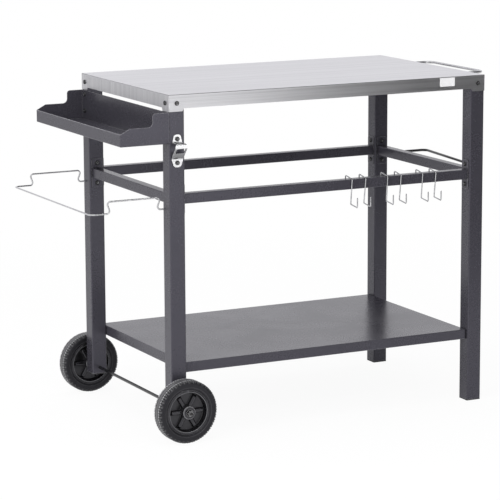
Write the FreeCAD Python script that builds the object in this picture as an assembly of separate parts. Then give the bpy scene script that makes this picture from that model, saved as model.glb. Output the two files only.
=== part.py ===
import FreeCAD, Part
import math
import os

V = FreeCAD.Vector

# Table top: one folded stainless sheet
top_length = 886.0
top_width = 530.0
top_height = 848.0
top_sheet = 1.0
apron_depth = 34.0
apron_inner_bend = 0.6
tab_width = 36.0
tab_drop = 7.0
tab_slope = 4.0
top_screw_drop = 21.0

# Blank badge on the front apron
badge_length = 43.0
badge_height = 22.0
badge_thickness = 0.8
badge_corner = 2.0
badge_from_right = 111.0
badge_drop = 13.0

# Square legs, their feet and plugs
leg_size = 40.0
leg_wall = 1.5
leg_inner_corner = 1.5
leg_top_gap = 1.0
wheel_leg_below_axle = 18.0
foot_flange = 3.0
foot_plug = 9.0
foot_wall = 2.5
plug_clearance = 0.15

# Mid rails with welded end plates
rail_size = 25.0
rail_wall = 1.5
rail_inner_corner = 0.8
rail_height = 593.0
plate_width = 30.0
plate_height = 75.0
plate_thickness = 2.0
plate_screw_pitch = 52.0
plate_corner = 5.0

# Lower shelf
shelf_height = 188.0
shelf_sheet = 1.0
shelf_apron = 25.0
shelf_inner_bend = 0.6
shelf_inset = 9.0
shelf_screw_pitch = 15.0
shelf_screw_inset = 14.8

# Stiffening channels under the top and the shelf
channel_width = 44.0
channel_depth = 16.0
channel_flange = 14.0
channel_sheet = 1.2
channel_end_gap = 1.0

# Side tray
tray_reach = 128.0
tray_back = 75.5
tray_lip = 30.0
tray_side = 43.0
tray_chamfer = 25.0
tray_shoulder = 43.0
tray_hollow_radius = 12.0
tray_round_radius = 8.0
tray_sheet = 1.2
tray_inner_bend = 0.8
tray_tab_gap = 1.5
tray_side_inset = 0.5
tray_screw_drop = 10.0
tray_screw_pitch = 43.0

# Bag ring of bent wire
ring_wire = 2.0
ring_drop = 23.0
ring_plug = 26.0
ring_reach = 200.0
ring_step_near = 27.0
ring_step_lean = 11.0
ring_step_far = 158.0
ring_rise = 29.0
ring_bend = 7.0
ring_corner = 14.0
ring_hole_clearance = 0.3

# Bottle opener, bent from one sheet
opener_sheet = 2.0
opener_drop = 96.0
opener_length = 79.0
opener_lobe = 13.0
opener_lobe_end = 8.5
opener_foot = 15.5
opener_foot_end = 9.5
opener_foot_height = 20.0
opener_end_flat = 1.0
opener_screw_inset = 10.5
opener_shelf_drop = 20.0
opener_reach = 26.0
opener_bar = 12.0
opener_bar_slope = 5.0
opener_bend = 3.0
opener_inner_bend = 1.0
opener_tongue = 14.8
opener_strap = 4.0
opener_window_corner = 3.0

# Wire hooks on the front rail, in pairs
hook_wire = 1.6
hook_gap = 0.3
hook_first = 60.0
hook_pair_pitch = 102.0
hook_pair_gap = 39.0
hook_pairs = 3
hook_back_lift = 6.0
hook_back_end = 14.0
hook_back_gap = 2.0
hook_rest_sag = 0.94
hook_lean_out = 3.6
hook_lean_in = 4.4
hook_drop = 64.0
hook_mouth = 30.0
hook_mouth_fall = 4.0
hook_tip = 25.0
hook_bend = 3.0

# Push handle of bent rod
handle_radius = 3.5
handle_half = 134.0
handle_reach = 80.0
handle_drop = 10.3
handle_bend = 22.0
handle_boss = 6.5
handle_boss_length = 16.0
handle_tap = 14.0
handle_screw_bite = 12.0

# Towel bar on the right rail
towel_radius = 3.5
towel_reach = 95.5
towel_place = 172.0
towel_length = 285.0
towel_taper = 33.0
towel_bend = 14.0
towel_plate_length = 64.0
towel_plate_height = 22.0
towel_screw_pitch = 44.0

# Axle and wheels
axle_radius = 4.0
axle_clearance = 0.05
axle_overhang = 2.0
spacer_length = 11.0
spacer_radius = 8.0
run_gap = 0.3
washer_radius = 9.0
washer_thickness = 1.6
axle_nut_across = 13.0
axle_nut_height = 6.0
axle_nut_collar = 2.5
wheel_radius = 78.0
tyre_width = 39.0
tyre_crown_width = 28.0
tyre_shoulder = 6.8
tyre_lip_round = 0.8
tyre_side_round = 6.0
tyre_edge_round = 3.0
tyre_crown_round = 4.0
tyre_fit = 0.05
hub_radius = 16.5
hub_length = 46.0
hub_round = 2.0
bush_radius = 7.5
bush_length = 14.0
bush_fit = 0.02
web_thickness = 4.0
web_round = 1.5
rim_dish = 50.0
rim_dish_bottom = 46.0
rim_width = 35.0
rim_round = 1.2
seat_radius = 52.5
seat_width = 29.0
flange_radius = 56.7
spokes = 6
spoke_width = 10.0
spoke_top = 12.0
spoke_round = 2.2
spoke_root = 1.0
spoke_sink = 1.5

# Button-head screws and the nuts behind them
screw_radius = 3.0
screw_head_radius = 5.6
screw_head_height = 3.2
screw_head_dome = 1.92
screw_socket = 2.2
screw_socket_depth = 1.8
screw_past_nut = 1.0
hole_clearance = 0.3
hole_overrun = 1.0
thread_clearance = 0.05
nut_across = 10.0
nut_height = 5.0

# Places worked out from the sizes above
leg_out_x = top_length / 2 - top_sheet
leg_out_y = top_width / 2 - top_sheet
leg_mid_x = leg_out_x - leg_size / 2
leg_mid_y = leg_out_y - leg_size / 2
leg_in_x = leg_out_x - leg_size
leg_in_y = leg_out_y - leg_size
leg_corner = leg_inner_corner + leg_wall
apron_low = top_height - apron_depth
tab_low = apron_low - tab_drop
tray_top = tab_low - tray_tab_gap
tray_low = tray_top - tray_back
tray_half = leg_out_y - tray_side_inset
opener_top = top_height - opener_drop
shelf_half_y = leg_out_y - shelf_inset
ring_height = rail_height - ring_drop
rail_out_x = leg_mid_x + rail_size / 2
handle_height = top_height - handle_drop
axle_height = wheel_radius
hub_inner = leg_out_y + spacer_length + run_gap
hub_outer = hub_inner + hub_length
washer_inner = hub_outer + run_gap
nut_inner = washer_inner + washer_thickness
axle_end = nut_inner + axle_nut_height + axle_nut_collar + axle_overhang
wheel_mid = (hub_inner + hub_outer) / 2
towel_half_turn = math.atan2(towel_length, towel_taper) / 2
towel_corner = towel_reach + towel_bend / math.tan(towel_half_turn) - towel_bend

# The origin lies on the floor, under the middle of the whole trolley
reach_left = leg_out_x + ring_reach + ring_wire
reach_right = max(rail_out_x + towel_reach + towel_radius, top_length / 2 + handle_reach + handle_radius)
shift_x = (reach_left - reach_right) / 2

# Lengths closer than this count as equal
same_length = 1e-6

corner_names = {
    (-1, -1): "front_left",
    (1, -1): "front_right",
    (-1, 1): "back_left",
    (1, 1): "back_right",
}


def box(x0, x1, y0, y1, z0, z1):
    return Part.makeBox(x1 - x0, y1 - y0, z1 - z0, V(x0, y0, z0))


def rounded_edges(points, radii, closed):
    # Straight edges between the points, with an arc of the given radius at each point
    count = len(points)
    arrive = []
    leave = []
    arcs = []
    for i, corner in enumerate(points):
        if radii[i] == 0:
            arrive.append(corner)
            leave.append(corner)
            arcs.append(None)
            continue
        back = (points[i - 1] - corner).normalize()
        ahead = (points[(i + 1) % count] - corner).normalize()
        half = back.getAngle(ahead) / 2
        reach = radii[i] / math.tan(half)
        inward = (back + ahead).normalize()
        middle = corner + inward * (radii[i] / math.sin(half) - radii[i])
        arrive.append(corner + back * reach)
        leave.append(corner + ahead * reach)
        arcs.append(Part.Arc(arrive[i], middle, leave[i]).toShape())
    edges = []
    for i in range(count):
        if arcs[i]:
            edges.append(arcs[i])
        if closed or i < count - 1:
            edges.append(Part.LineSegment(leave[i], arrive[(i + 1) % count]).toShape())
    return edges


def prism(points, radii, sweep):
    return Part.Face(Part.Wire(rounded_edges(points, radii, True))).extrude(sweep)


def rod(points, bends, radius):
    path = Part.Wire(rounded_edges(points, bends, False))
    ring = Part.Wire(Part.makeCircle(radius, points[0], points[1] - points[0]))
    return path.makePipeShell([ring], True, False)


def cylinder(radius, start, sweep):
    return Part.makeCylinder(radius, sweep.Length, start, sweep)


def hexagon(across, start, sweep):
    # A hexagonal prism from start along sweep, made upright and then turned
    corner = across / 2 / math.cos(math.pi / 6)
    points = [V(corner * math.cos(i * math.pi / 3), corner * math.sin(i * math.pi / 3), 0) for i in range(6)]
    solid = prism(points, [0] * 6, V(0, 0, sweep.Length))
    return placed(solid, start, sweep)


def placed(shape, start, heading):
    turned = shape.copy()
    turned.Placement = FreeCAD.Placement(start, FreeCAD.Rotation(V(0, 0, 1), heading))
    return turned


def upright_edges(shape):
    return [e for e in shape.Edges if e.BoundBox.XLength < same_length and e.BoundBox.YLength < same_length]


def edges_at_height(shape, z):
    return [e for e in shape.Edges
            if abs(e.BoundBox.ZMin - z) < same_length and abs(e.BoundBox.ZMax - z) < same_length]


def pan(half_x, half_y, low, high, sheet, inner_bend):
    # A shallow box with no floor: a top sheet with four turned-down sides
    outer = box(-half_x, half_x, -half_y, half_y, low, high)
    outer = outer.makeFillet(inner_bend + sheet, upright_edges(outer) + edges_at_height(outer, high))
    hollow = box(-half_x + sheet, half_x - sheet, -half_y + sheet, half_y - sheet, low - sheet, high - sheet)
    hollow = hollow.makeFillet(inner_bend, upright_edges(hollow) + edges_at_height(hollow, high - sheet))
    return outer.cut(hollow)


def rounded_bar(size, corner, low, high):
    bar = box(-size / 2, size / 2, -size / 2, size / 2, low, high)
    return bar.makeFillet(corner, upright_edges(bar))


def square_tube(size, wall, inner_corner, low, high):
    outer = rounded_bar(size, inner_corner + wall, low, high)
    return outer.cut(rounded_bar(size - 2 * wall, inner_corner, low - wall, high + wall))


class Fixing:
    # A screw whose head sits at seat and faces outward, with the nut that it draws up behind grip
    def __init__(self, seat, outward, grip):
        self.seat = seat
        self.outward = outward
        self.grip = grip

    def screw(self, length):
        head = Part.makeCylinder(screw_head_radius, screw_head_height)
        head = head.makeFillet(screw_head_dome, edges_at_height(head, screw_head_height))
        socket_floor = screw_head_height - screw_socket_depth
        socket = hexagon(2 * screw_socket, V(0, 0, socket_floor), V(0, 0, screw_head_height))
        shank = Part.makeCylinder(screw_radius, length, V(0, 0, 0), V(0, 0, -1))
        return placed(head.fuse(shank).cut(socket), self.seat, self.outward)

    def nutted_screw(self):
        return self.screw(self.grip + nut_height + screw_past_nut)

    def nut(self):
        start = self.seat - self.outward * self.grip
        body = hexagon(nut_across, start, self.outward * -nut_height)
        return body.cut(cylinder(screw_radius + thread_clearance, start, self.outward * -nut_height))

    def hole(self):
        start = self.seat + self.outward * hole_overrun
        return cylinder(screw_radius + hole_clearance, start, self.outward * (-self.grip - 2 * hole_overrun))


def top_fixings():
    height = top_height - top_screw_drop
    found = []
    for sx, sy in corner_names:
        side = V(sx * top_length / 2, sy * leg_mid_y, height)
        face = V(sx * leg_mid_x, sy * top_width / 2, height)
        found.append(Fixing(side, V(sx, 0, 0), top_sheet + leg_wall))
        found.append(Fixing(face, V(0, sy, 0), top_sheet + leg_wall))
    return found


def rail_fixings():
    found = []
    for sx, sy in corner_names:
        for up in (-1, 1):
            height = rail_height + up * plate_screw_pitch / 2
            long_seat = V(sx * (leg_in_x - plate_thickness), sy * leg_mid_y, height)
            short_seat = V(sx * leg_mid_x, sy * (leg_in_y - plate_thickness), height)
            found.append(Fixing(long_seat, V(-sx, 0, 0), plate_thickness + leg_wall))
            found.append(Fixing(short_seat, V(0, -sy, 0), plate_thickness + leg_wall))
    return found


def shelf_fixings():
    height = shelf_height - shelf_apron / 2
    found = []
    for sx, sy in corner_names:
        for step in (-1, 1):
            y = sy * (shelf_half_y - shelf_screw_inset) + step * shelf_screw_pitch / 2
            seat = V(sx * (leg_in_x - shelf_sheet), y, height)
            found.append(Fixing(seat, V(-sx, 0, 0), shelf_sheet + leg_wall))
    return found


def tray_fixings():
    found = []
    for sy in (-1, 1):
        for step in (0, 1):
            height = tray_top - tray_screw_drop - step * tray_screw_pitch
            seat = V(-leg_out_x - tray_sheet, sy * leg_mid_y, height)
            found.append(Fixing(seat, V(-1, 0, 0), tray_sheet + leg_wall))
    return found


def opener_fixings():
    face = -leg_out_y - opener_sheet
    heights = (opener_top - opener_screw_inset, opener_top - opener_length + opener_screw_inset)
    return [Fixing(V(-leg_mid_x, face, z), V(0, -1, 0), opener_sheet + leg_wall) for z in heights]


def towel_fixings():
    seat_x = rail_out_x + plate_thickness
    places = (towel_place - towel_screw_pitch / 2, towel_place + towel_screw_pitch / 2)
    return [Fixing(V(seat_x, y, rail_height), V(1, 0, 0), plate_thickness + rail_wall) for y in places]


def handle_fixings():
    seat_x = top_length / 2 - top_sheet
    return [Fixing(V(seat_x, s * handle_half, handle_height), V(-1, 0, 0), top_sheet) for s in (-1, 1)]


def cut_holes(shape, fixings):
    return shape.cut([f.hole() for f in fixings])


def table_top():
    half_x = top_length / 2
    half_y = top_width / 2
    sheet = pan(half_x, half_y, tab_low, top_height, top_sheet, apron_inner_bend)
    # The aprons are cut back between the corner tabs, with a slope at each tab
    for half, sweep, along in ((half_x, V(0, 2 * top_width, 0), V(1, 0, 0)),
                               (half_y, V(2 * top_length, 0, 0), V(0, 1, 0))):
        low_half = half - tab_width
        high_half = low_half - tab_slope
        start = sweep * -0.5 + V(0, 0, tab_low)
        rise = V(0, 0, tab_drop)
        below = V(0, 0, -tab_drop)
        points = [start + along * low_half + below, start + along * low_half,
                  start + along * high_half + rise, start - along * high_half + rise,
                  start - along * low_half, start - along * low_half + below]
        sheet = sheet.cut(prism(points, [0] * len(points), sweep))
    return cut_holes(sheet, top_fixings() + handle_fixings())


def badge():
    mid_x = top_length / 2 - badge_from_right
    mid_z = top_height - badge_drop
    half_x = badge_length / 2
    half_z = badge_height / 2
    face = -top_width / 2
    signs = ((-1, -1), (1, -1), (1, 1), (-1, 1))
    points = [V(mid_x + i * half_x, face, mid_z + k * half_z) for i, k in signs]
    return prism(points, [badge_corner] * 4, V(0, -badge_thickness, 0))


def leg_foot_height(sx):
    return axle_height - wheel_leg_below_axle if sx < 0 else 0.0


def leg_axle_hole(sy):
    start = V(-leg_mid_x, sy * (leg_in_y - hole_overrun), axle_height)
    return cylinder(axle_radius + axle_clearance, start, V(0, sy * (leg_size + 2 * hole_overrun), 0))


def ring_hole(sy):
    start = V(-leg_out_x - hole_overrun, sy * leg_mid_y, ring_height)
    return cylinder(ring_wire + ring_hole_clearance, start, V(leg_wall + 2 * hole_overrun, 0, 0))


def leg(sx, sy):
    low = leg_foot_height(sx) + foot_flange
    high = top_height - top_sheet - leg_top_gap
    tube = square_tube(leg_size, leg_wall, leg_inner_corner, low, high)
    tube.translate(V(sx * leg_mid_x, sy * leg_mid_y, 0))
    fixings = top_fixings() + rail_fixings() + shelf_fixings() + tray_fixings()
    tube = cut_holes(tube, fixings + opener_fixings())
    if sx < 0:
        tube = tube.cut([leg_axle_hole(sy), ring_hole(sy)])
    return tube


def foot(sx, sy):
    # A plastic end with a flange under the tube and a hollow plug inside it
    low = leg_foot_height(sx)
    plug_size = leg_size - 2 * leg_wall - 2 * plug_clearance
    plug_top = low + foot_flange + foot_plug
    body = rounded_bar(leg_size, leg_corner, low, low + foot_flange)
    body = body.fuse(rounded_bar(plug_size, leg_inner_corner, low + foot_flange, plug_top))
    pocket = plug_size - 2 * foot_wall
    body = body.cut(box(-pocket / 2, pocket / 2, -pocket / 2, pocket / 2, low + foot_flange, plug_top))
    body.translate(V(sx * leg_mid_x, sy * leg_mid_y, 0))
    return body.cut(leg_axle_hole(sy)) if sx < 0 else body


def flat_plate(centre, outward, width, height):
    # An upright plate with rounded corners, standing on the face at centre
    points = [V(i * width / 2, k * height / 2, 0) for i, k in ((-1, -1), (1, -1), (1, 1), (-1, 1))]
    plate = prism(points, [plate_corner] * 4, V(0, 0, plate_thickness))
    side = V(0, 0, 1).cross(outward)
    turn = FreeCAD.Rotation(side, V(0, 0, 1), outward, "ZXY")
    plate.Placement = FreeCAD.Placement(centre, turn)
    return plate


def rail(start, end):
    # A square tube between two end plates that stand on the legs' faces
    along = (end - start).normalize()
    length = start.distanceToPoint(end)
    tube = square_tube(rail_size, rail_wall, rail_inner_corner, plate_thickness, length - plate_thickness)
    side = V(0, 0, 1).cross(along)
    tube.Placement = FreeCAD.Placement(start, FreeCAD.Rotation(side, V(0, 0, 1), along, "ZXY"))
    plates = [flat_plate(start, along, plate_width, plate_height),
              flat_plate(end, along * -1, plate_width, plate_height)]
    return cut_holes(tube.fuse(plates), rail_fixings() + towel_fixings())


def long_rail(sy):
    return rail(V(-leg_in_x, sy * leg_mid_y, rail_height), V(leg_in_x, sy * leg_mid_y, rail_height))


def short_rail(sx):
    return rail(V(sx * leg_mid_x, -leg_in_y, rail_height), V(sx * leg_mid_x, leg_in_y, rail_height))


def shelf():
    low = shelf_height - shelf_apron
    sheet = pan(leg_in_x, shelf_half_y, low, shelf_height, shelf_sheet, shelf_inner_bend)
    return cut_holes(sheet, shelf_fixings())


def channel(under, half_length):
    # A hat section welded by its two flanges against the sheet above it
    half = channel_width / 2
    edge = half + channel_flange
    deep = under - channel_depth
    t = channel_sheet
    outline = [(-edge, under), (-half + t, under), (-half + t, deep + t), (half - t, deep + t),
               (half - t, under), (edge, under), (edge, under - t), (half, under - t),
               (half, deep), (-half, deep), (-half, under - t), (-edge, under - t)]
    points = [V(x, -half_length, z) for x, z in outline]
    return prism(points, [0] * len(points), V(0, 2 * half_length, 0))


def side_tray():
    face = -leg_out_x
    near = -tray_half
    step = tray_shoulder

    def at(out, up):
        return V(face - out, near, tray_low + up)

    points = [at(0, 0), at(tray_reach, 0), at(tray_reach, tray_lip),
              at(tray_reach - tray_chamfer, tray_side), at(step, tray_side), at(step, tray_back),
              at(0, tray_back)]
    radii = [0, 0, 0, 0, tray_hollow_radius, tray_round_radius, 0]
    solid = prism(points, radii, V(0, 2 * tray_half, 0))
    lip_edges = [e for e in upright_edges(solid) if abs(e.BoundBox.XMin - (face - tray_reach)) < same_length]
    floor_edges = [e for e in edges_at_height(solid, tray_low) if e.BoundBox.XMin < face - tray_sheet]
    solid = solid.makeFillet(tray_inner_bend + tray_sheet, lip_edges + floor_edges)
    hollow = box(face - tray_reach + tray_sheet, face - tray_sheet,
                 near + tray_sheet, tray_half - tray_sheet,
                 tray_low + tray_sheet, tray_top + tray_sheet)
    bends = upright_edges(hollow) + edges_at_height(hollow, tray_low + tray_sheet)
    tray = solid.cut(hollow.makeFillet(tray_inner_bend, bends))
    return cut_holes(tray, tray_fixings())


def bag_ring():
    # Each arm leaves its leg, steps up, runs out, steps down and meets the end bar
    def arm(sy):
        places = [(-ring_plug, 0), (ring_step_near, 0), (ring_step_near - ring_step_lean, ring_rise),
                  (ring_step_far, ring_rise), (ring_step_far - ring_step_lean, 0), (ring_reach, 0)]
        return [V(-leg_out_x - out, sy * leg_mid_y, ring_height + up) for out, up in places]

    points = arm(-1) + arm(1)[::-1]
    arm_bends = [0] + [ring_bend] * 4 + [ring_corner]
    return rod(points, arm_bends + arm_bends[::-1], ring_wire)


def opener_profile():
    # From the side: a lobe on the leg, a shelf out to the bar, and straps that slope back to the foot
    t = opener_sheet
    low = opener_top - opener_length
    bend = low + opener_foot_height
    shelf = opener_top - opener_shelf_drop
    bar_low = shelf - opener_bar
    run = opener_reach - t
    rise = bar_low - bend
    length = math.hypot(run, rise)
    lift = t * length / run
    strap_in = bend + lift - t * rise / run
    strap_out = strap_in + rise
    places = [(0, opener_top), (t, opener_top), (t, shelf), (opener_reach, shelf),
              (opener_reach, bar_low), (t, bend), (t, low), (0, low),
              (0, strap_in), (run, strap_out), (run, shelf - t), (0, shelf - t)]
    radii = [0, 0, opener_inner_bend, opener_bend, opener_bend,
             opener_bend, 0, 0, 0, opener_inner_bend, opener_inner_bend, 0]
    points = [V(-leg_mid_x - opener_foot, -leg_out_y - out, z) for out, z in places]
    return prism(points, radii, V(2 * opener_foot, 0, 0))


def bottle_opener():
    low = opener_top - opener_length
    bend = low + opener_foot_height
    shelf = opener_top - opener_shelf_drop
    bar_low = shelf - opener_bar
    through = V(0, -2 * opener_reach, 0)

    def front(x, z):
        return V(-leg_mid_x + x, -leg_out_y + opener_reach / 2, z)

    # The outline from the front, and the window that leaves two straps, a bar and a tongue
    half_outline = [(-opener_foot_end, low), (-opener_foot, bend), (-opener_foot, shelf - opener_bar_slope),
                    (-opener_lobe, shelf), (-opener_lobe_end, opener_top)]
    radii = [opener_foot_end - opener_end_flat, opener_bend, opener_bend, 0,
             opener_lobe_end - opener_end_flat]
    points = [front(x, z) for x, z in half_outline] + [front(-x, z) for x, z in half_outline[::-1]]
    outline = prism(points, radii + radii[::-1], through)
    inner = opener_foot - opener_strap
    window_points = [front(x, z) for x, z in ((-inner, bend + opener_tongue), (inner, bend + opener_tongue),
                                              (inner, bar_low), (-inner, bar_low))]
    window = prism(window_points, [opener_window_corner] * 4, through)
    whole = opener_profile().common(outline).cut(window)
    return cut_holes(whole, opener_fixings()).removeSplitter()


def hook(x):
    # Over the rail from behind, down past its front with a lean, out towards the user and up to the tip
    front = -rail_size / 2 - hook_gap - hook_wire
    back = rail_size / 2 + hook_gap + hook_wire + hook_back_gap
    rest = rail_size / 2 + hook_gap + hook_wire - hook_rest_sag
    top = rest + hook_back_lift
    low = rest - hook_drop
    mouth = front - hook_mouth
    shoulder = front - hook_lean_out
    heel = front + hook_lean_in
    places = [(back, top - hook_back_end), (back, top), (shoulder, rest), (heel, low),
              (mouth, low - hook_mouth_fall), (mouth, low - hook_mouth_fall + hook_tip)]
    points = [V(x, -leg_mid_y + y, rail_height + z) for y, z in places]
    return rod(points, [0] + [hook_bend] * 4 + [0], hook_wire)


def hook_places():
    return [hook_first + i * hook_pair_pitch + k * hook_pair_gap for i in range(hook_pairs) for k in (0, 1)]


def push_handle():
    base = top_length / 2
    out = base + handle_reach
    start = base + handle_tap
    places = [(start, -handle_half), (out, -handle_half), (out, handle_half), (start, handle_half)]
    bar = rod([V(x, y, handle_height) for x, y in places], [0, handle_bend, handle_bend, 0], handle_radius)
    ends = [V(base, s * handle_half, handle_height) for s in (-1, 1)]
    bosses = [cylinder(handle_boss, end, V(handle_boss_length, 0, 0)) for end in ends]
    taps = [cylinder(screw_radius + thread_clearance, end, V(handle_tap, 0, 0)) for end in ends]
    return bar.fuse(bosses).cut(taps)


def towel_bar():
    # An arm out from its plate on the rail, then a bar that runs forward to a free end
    seat = V(rail_out_x, towel_place, rail_height)
    outward = V(1, 0, 0)
    corner = seat + outward * towel_corner
    points = [seat + outward * (plate_thickness / 2), corner, corner - V(towel_taper, towel_length, 0)]
    bar = rod(points, [0, towel_bend, 0], towel_radius)
    plate = flat_plate(seat, outward, towel_plate_length, towel_plate_height)
    return cut_holes(bar.fuse(plate), towel_fixings())


def axle():
    return cylinder(axle_radius, V(-leg_mid_x, -axle_end, axle_height), V(0, 2 * axle_end, 0))


def axle_ring(radius, sy, inner, length):
    start = V(-leg_mid_x, sy * inner, axle_height)
    sweep = V(0, sy * length, 0)
    return cylinder(radius, start, sweep).cut(cylinder(axle_radius + axle_clearance, start, sweep))


def axle_nut(sy):
    start = V(-leg_mid_x, sy * nut_inner, axle_height)
    body = hexagon(axle_nut_across, start, V(0, sy * axle_nut_height, 0))
    bore = cylinder(axle_radius + axle_clearance, start, V(0, sy * axle_nut_height, 0))
    collar_radius = (axle_nut_across / 2 + axle_radius) / 2
    collar = axle_ring(collar_radius, sy, nut_inner + axle_nut_height, axle_nut_collar)
    return body.cut(bore).fuse(collar)


def wheel_turning(outline, radii):
    # An outline of radius and offset from the wheel's middle, turned about the axle
    points = [V(r, w, 0) for r, w in outline]
    face = Part.Face(Part.Wire(rounded_edges(points, radii, True)))
    return face.revolve(V(0, 0, 0), V(0, 1, 0), 360)


def on_axle(shape, sy):
    moved = shape.copy()
    moved.translate(V(-leg_mid_x, sy * wheel_mid, axle_height))
    return moved


def mirrored_outline(half):
    return half + [(r, -w) for r, w in half[::-1]]


def rim(sy):
    bore = bush_radius + bush_fit
    web = web_thickness / 2
    edge = rim_width / 2
    half = [(bore, hub_length / 2), (hub_radius, hub_length / 2), (hub_radius, web), (rim_dish_bottom, web),
            (rim_dish, edge), (flange_radius, edge), (flange_radius, seat_width / 2),
            (seat_radius, seat_width / 2)]
    radii = [0, hub_round, 0, web_round, rim_round, rim_round, 0, 0]
    body = wheel_turning(mirrored_outline(half), radii + radii[::-1])
    # The spokes stand on both faces of the web and run into the hub and the dish
    start = hub_radius - spoke_root
    end = rim_dish_bottom + spoke_sink
    spoke = box(start, end, -spoke_top, spoke_top, -spoke_width / 2, spoke_width / 2)
    crests = [e for e in spoke.Edges
              if e.BoundBox.YLength < same_length and e.BoundBox.ZLength < same_length]
    spoke = spoke.makeFillet(spoke_round, crests)
    turned = []
    for i in range(spokes):
        arm = spoke.copy()
        arm.rotate(V(0, 0, 0), V(0, 1, 0), i * 360 / spokes)
        turned.append(arm)
    return on_axle(body.fuse(turned), sy)


def tyre(sy):
    seat = seat_radius + tyre_fit
    bead = seat_width / 2 - tyre_fit
    lap = flange_radius + tyre_fit
    side = tyre_width / 2
    half = [(seat, bead), (lap, bead), (lap, rim_width / 2), (lap + tyre_shoulder, side),
            (wheel_radius - tyre_shoulder, side), (wheel_radius, tyre_crown_width / 2)]
    radii = [0, 0, tyre_lip_round, tyre_side_round, tyre_edge_round, tyre_crown_round]
    return on_axle(wheel_turning(mirrored_outline(half), radii + radii[::-1]), sy)


def hub_bushes(sy):
    bore = axle_radius + axle_clearance
    half = hub_length / 2
    ring = Part.makeCylinder(bush_radius, bush_length).cut(Part.makeCylinder(bore, bush_length))
    pair = [placed(ring, V(0, s * half, 0), V(0, -s, 0)) for s in (-1, 1)]
    return on_axle(Part.makeCompound(pair), sy)


def export(node, shape):
    moved = shape.copy()
    moved.translate(V(shift_x, 0, 0))
    moved.exportStep("parts/" + node + ".step")


def export_fixings(name, fixings):
    export(name + "_screws", Part.makeCompound([f.nutted_screw() for f in fixings]))
    export(name + "_nuts", Part.makeCompound([f.nut() for f in fixings]))


os.makedirs("parts", exist_ok=True)

export("table_top", table_top())
export("top_stiffener", channel(top_height - top_sheet, top_width / 2 - top_sheet - channel_end_gap))
export("badge", badge())
for (sx, sy), corner in corner_names.items():
    export("leg_" + corner, leg(sx, sy))
export("feet", Part.makeCompound([foot(1, -1), foot(1, 1)]))
export("wheel_leg_plugs", Part.makeCompound([foot(-1, -1), foot(-1, 1)]))
export("rail_front", long_rail(-1))
export("rail_back", long_rail(1))
export("rail_left", short_rail(-1))
export("rail_right", short_rail(1))
export("shelf", shelf())
export("shelf_stiffener", channel(shelf_height - shelf_sheet, shelf_half_y - shelf_sheet - channel_end_gap))
export("side_tray", side_tray())
export("bag_ring", bag_ring())
export("bottle_opener", bottle_opener())
for number, place in enumerate(hook_places(), 1):
    export("hook_" + str(number), hook(place))
export("push_handle", push_handle())
handle_screws = [f.screw(top_sheet + handle_screw_bite) for f in handle_fixings()]
export("handle_screws", Part.makeCompound(handle_screws))
export("towel_bar", towel_bar())
export("axle", axle())
for sy, name in ((-1, "front"), (1, "back")):
    export("rim_" + name, rim(sy))
    export("tyre_" + name, tyre(sy))
    export("hub_bushes_" + name, hub_bushes(sy))
spacers = [axle_ring(spacer_radius, s, leg_out_y, spacer_length) for s in (-1, 1)]
washers = [axle_ring(washer_radius, s, washer_inner, washer_thickness) for s in (-1, 1)]
export("axle_spacers", Part.makeCompound(spacers))
export("axle_washers", Part.makeCompound(washers))
export("axle_nuts", Part.makeCompound([axle_nut(s) for s in (-1, 1)]))
export_fixings("top", top_fixings())
export_fixings("rail", rail_fixings())
export_fixings("shelf", shelf_fixings())
export_fixings("tray", tray_fixings())
export_fixings("opener", opener_fixings())
export_fixings("towel", towel_fixings())
print("origin shift along the length", round(shift_x, 3))
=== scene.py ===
import bmesh
import bpy
import math
import numpy as np
from mathutils import Matrix, Vector


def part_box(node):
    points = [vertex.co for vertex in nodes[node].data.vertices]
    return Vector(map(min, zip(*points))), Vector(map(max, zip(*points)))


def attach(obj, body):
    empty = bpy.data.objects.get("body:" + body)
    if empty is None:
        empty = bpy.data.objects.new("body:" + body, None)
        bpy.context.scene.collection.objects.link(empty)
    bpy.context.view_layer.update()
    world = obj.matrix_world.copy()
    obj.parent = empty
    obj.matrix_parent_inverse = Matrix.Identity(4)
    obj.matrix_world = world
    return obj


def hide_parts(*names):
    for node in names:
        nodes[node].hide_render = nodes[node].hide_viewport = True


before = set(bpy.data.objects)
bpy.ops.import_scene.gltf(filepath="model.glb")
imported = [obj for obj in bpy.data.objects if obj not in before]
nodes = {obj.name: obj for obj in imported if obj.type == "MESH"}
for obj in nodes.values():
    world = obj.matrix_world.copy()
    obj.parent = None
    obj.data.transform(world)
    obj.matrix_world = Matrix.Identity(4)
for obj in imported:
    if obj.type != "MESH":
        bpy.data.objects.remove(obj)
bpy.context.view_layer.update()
mm = 0.001
white = (1, 1, 1, 1)
print("loaded", len(nodes), "nodes")

# Camera: the photograph's standpoint, with no shift
photoCamera = {
    "place": (-2.8736, -5.6110, 1.5746),
    "yaw": 26.806,
    "pitch": -10.601,
    "roll": -0.250,
    "focal": 2487.0,  # pixels of a frame 500 wide
    "frameWidth": 500,
    "sensor": 36.0,
    "clipEnd": 200,
}


def placeCamera(c):
    yaw, pitch, roll = (math.radians(c[k]) for k in ("yaw", "pitch", "roll"))
    ahead = Vector((math.sin(yaw) * math.cos(pitch), math.cos(yaw) * math.cos(pitch), math.sin(pitch)))
    level = Vector((math.cos(yaw), -math.sin(yaw), 0))
    right = level * math.cos(roll) + level.cross(ahead) * math.sin(roll)
    turn = Matrix((right, (-ahead).cross(right), -ahead)).transposed()
    data = bpy.data.cameras.new("photoCamera")
    data.sensor_width = c["sensor"]
    data.lens = c["focal"] * c["sensor"] / c["frameWidth"]
    data.clip_end = c["clipEnd"]
    camera = bpy.data.objects.new("photoCamera", data)
    camera.matrix_world = Matrix.Translation(c["place"]) @ turn.to_4x4()
    bpy.context.scene.collection.objects.link(camera)
    bpy.context.scene.camera = camera


placeCamera(photoCamera)
print("camera placed")


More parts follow.
